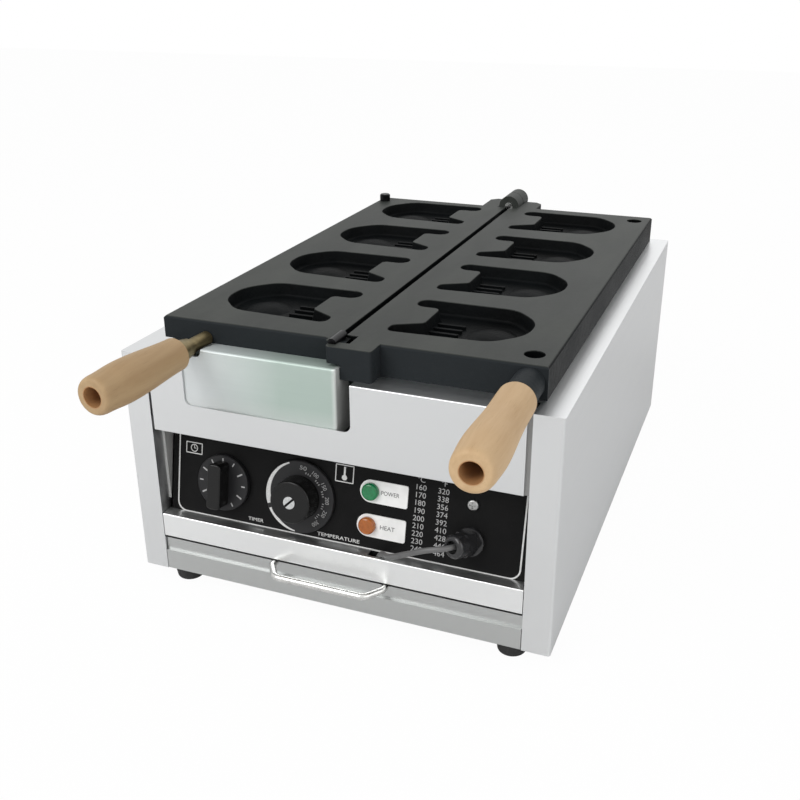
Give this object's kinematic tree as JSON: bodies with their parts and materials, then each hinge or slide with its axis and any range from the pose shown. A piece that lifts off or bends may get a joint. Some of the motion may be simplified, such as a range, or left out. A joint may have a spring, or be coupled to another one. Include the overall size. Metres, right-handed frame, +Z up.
{
  "type": "shaped waffle maker",
  "caption": "Countertop cooker with a hinged cast lid plate beside a fixed one, shaped moulds, wooden handles, a tilted control panel and a crumb drawer.",
  "frame": {"origin": "under the middle of the whole object, on the surface that its feet stand on", "axes": "+X to the right seen from the controls, along the cabinet's width; +Y from the controls to the back, along the hinge; +Z up"},
  "size_m": [0.32, 0.5814, 0.2209],
  "materials": {
    "satin_steel": "satin brushed stainless sheet",
    "polished_steel": "bright steel",
    "cover_steel": "satin sheet with a slight green cast",
    "rod_steel": "heat-darkened steel",
    "cast_iron": "seasoned casting, ground flat on top",
    "heater_tube": "oxidised sheath",
    "wool": "pressed ceramic wool",
    "pale_wood": "turned, unvarnished",
    "tan_wood": "turned, unvarnished, darker",
    "black_panel": "satin black with white print",
    "black_plastic": "moulded",
    "grey_plastic": "moulded",
    "white_plastic": "moulded",
    "pale_cap": "turned",
    "pale_label": "smooth tile",
    "green_lens": "translucent lens",
    "orange_lens": "translucent lens",
    "black_rubber": "moulded",
    "lead_sleeve": "heat-resistant sleeve"
  },
  "bodies": {
    "cabinet": {"left_side_panel": "satin_steel", "right_side_panel": "satin_steel", "back_panel": "satin_steel", "base_plate": "satin_steel", "inner_floor": "satin_steel", "front_ledge": "satin_steel", "front_apron": "satin_steel", "apron_strips": "satin_steel", "panel_cheeks": "satin_steel", "lid_bay": "satin_steel", "right_deck": "satin_steel", "plate_bolts": "polished_steel", "feet": "black_rubber", "foot_screws": "polished_steel", "drawer_runners": "satin_steel", "lower_plate": "cast_iron", "rear_hinge_pin": "polished_steel", "lower_heater": "heater_tube", "lower_heater_cover": "cover_steel", "lower_wool_pad": "wool", "lower_cover_studs": "polished_steel", "lid_rests": "satin_steel", "lower_handle_rod": "rod_steel", "lower_handle_grip": "pale_wood", "lower_handle_screw": "polished_steel", "control_panel": "black_panel", "panel_screw": "polished_steel", "timer_body": "black_plastic", "thermostat_body": "black_plastic", "power_lamp": "green_lens", "heat_lamp": "orange_lens", "power_label": "pale_label", "heat_label": "pale_label", "panel_gland": "black_plastic", "panel_lead": "lead_sleeve", "terminal_block": "white_plastic", "heater_relay": "grey_plastic", "rear_inlet": "black_plastic", "temperature_bulb": "heater_tube"},
    "lid": {"upper_plate": "cast_iron", "locating_pin": "cast_iron", "front_hinge_pin": "polished_steel", "upper_heater": "heater_tube", "upper_heater_cover": "cover_steel", "upper_cover_front": "cover_steel", "upper_wool_pad": "wool", "upper_cover_studs": "polished_steel", "upper_handle_rod": "rod_steel", "upper_handle_grip": "tan_wood", "upper_handle_screw": "polished_steel"},
    "timer_dial": {"timer_knob": "black_plastic"},
    "thermostat_dial": {"thermostat_knob": "black_plastic", "thermostat_cap": "pale_cap"},
    "drawer": {"crumb_drawer": "satin_steel", "drawer_pull": "polished_steel"}
  },
  "joints": [
    {"name": "lid_hinge", "type": "hinge", "parent": "cabinet", "child": "lid", "pos_m": [0, 0.03433, 0.2109], "axis": [0, 1, 0], "range_deg": [0, 180]},
    {"name": "timer_turn", "type": "hinge", "parent": "cabinet", "child": "timer_dial", "pos_m": [-0.0927, -0.1693, 0.08807], "axis": [0, 0.9781, -0.2079], "range_deg": [0, 300]},
    {"name": "thermostat_turn", "type": "hinge", "parent": "cabinet", "child": "thermostat_dial", "pos_m": [-0.0304, -0.16922, 0.08846], "axis": [0, 0.9781, -0.2079], "range_deg": [0, 270]},
    {"name": "drawer_slide", "type": "slide", "parent": "cabinet", "child": "drawer", "axis": [0, -1, 0], "range_m": [0, 0.4]}
  ]
}
